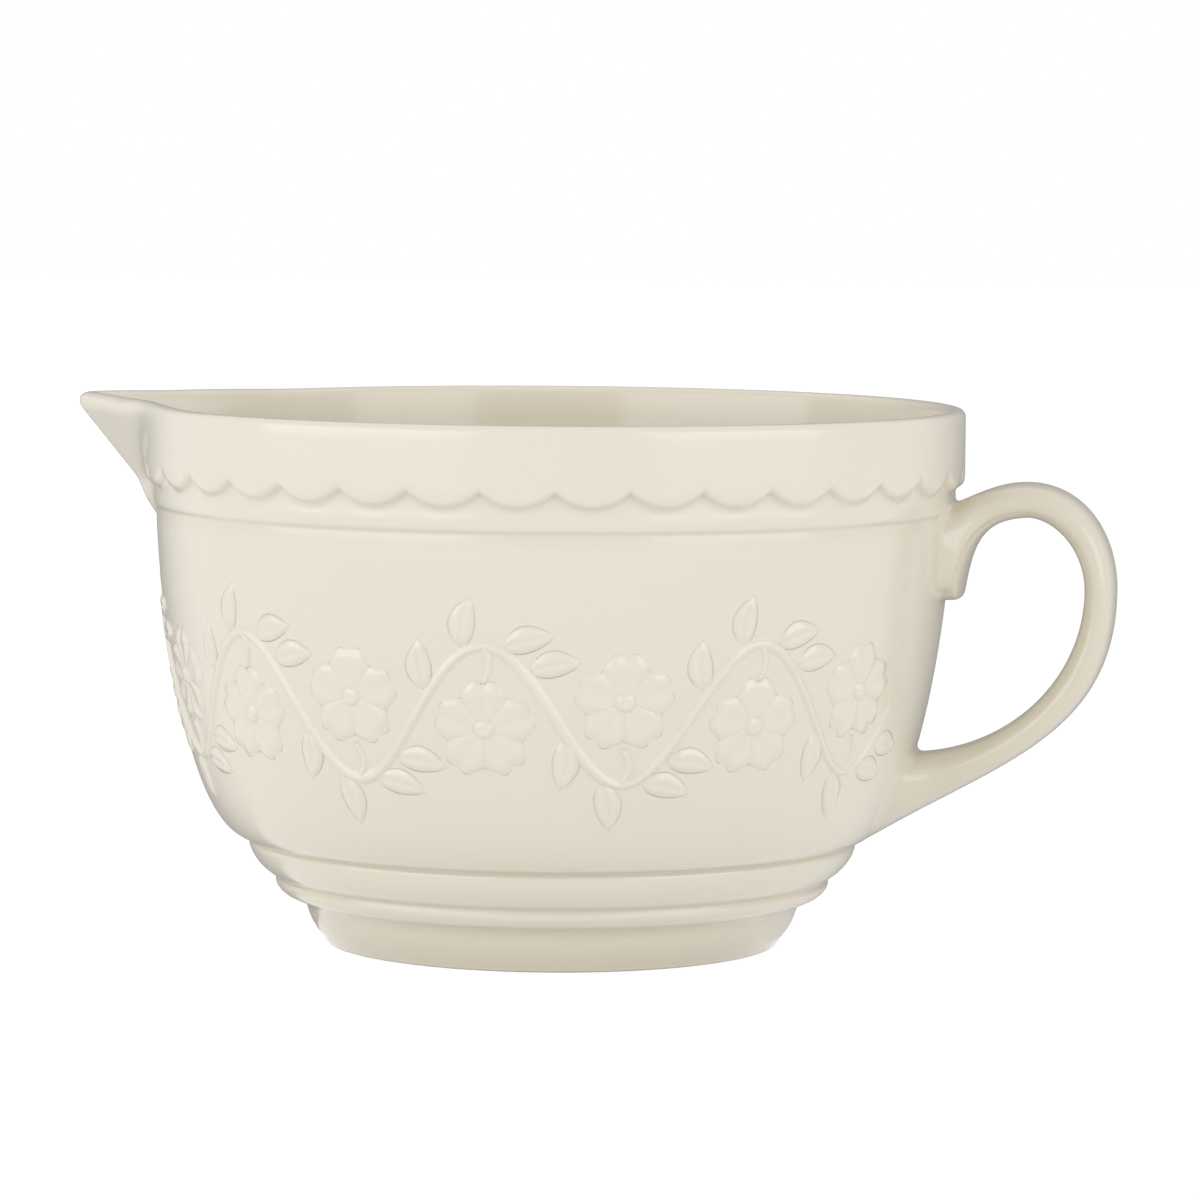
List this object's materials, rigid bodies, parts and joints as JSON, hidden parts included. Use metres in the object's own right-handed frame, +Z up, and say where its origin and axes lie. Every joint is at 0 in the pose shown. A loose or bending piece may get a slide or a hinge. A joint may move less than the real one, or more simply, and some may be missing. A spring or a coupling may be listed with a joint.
{
  "type": "batter bowl",
  "caption": "Deep round batter bowl with a V pouring spout, a strap handle, a scalloped band under the rim, a moulded base and a running vine in low relief.",
  "frame": {"origin": "middle of the foot, in the plane of the table", "axes": "+Z up along the axis of the bowl, +X towards the handle, -X towards the spout, +Y by the right-hand rule"},
  "size_m": [0.2698, 0.21, 0.1397],
  "materials": {
    "bowl_glaze": "glossy cream glaze over pale earthenware",
    "band_glaze": "glossy cream glaze, a little paler on the band",
    "spout_glaze": "glossy cream glaze",
    "handle_glaze": "glossy cream glaze",
    "relief_glaze": "glossy cream glaze, thin over the raised clay"
  },
  "bodies": {
    "root": {"bowl_body": "bowl_glaze", "scalloped_band": "band_glaze", "spout": "spout_glaze", "handle": "handle_glaze", "vine_stem": "relief_glaze", "vine_leaves": "relief_glaze", "blossoms": "relief_glaze"}
  },
  "joints": []
}
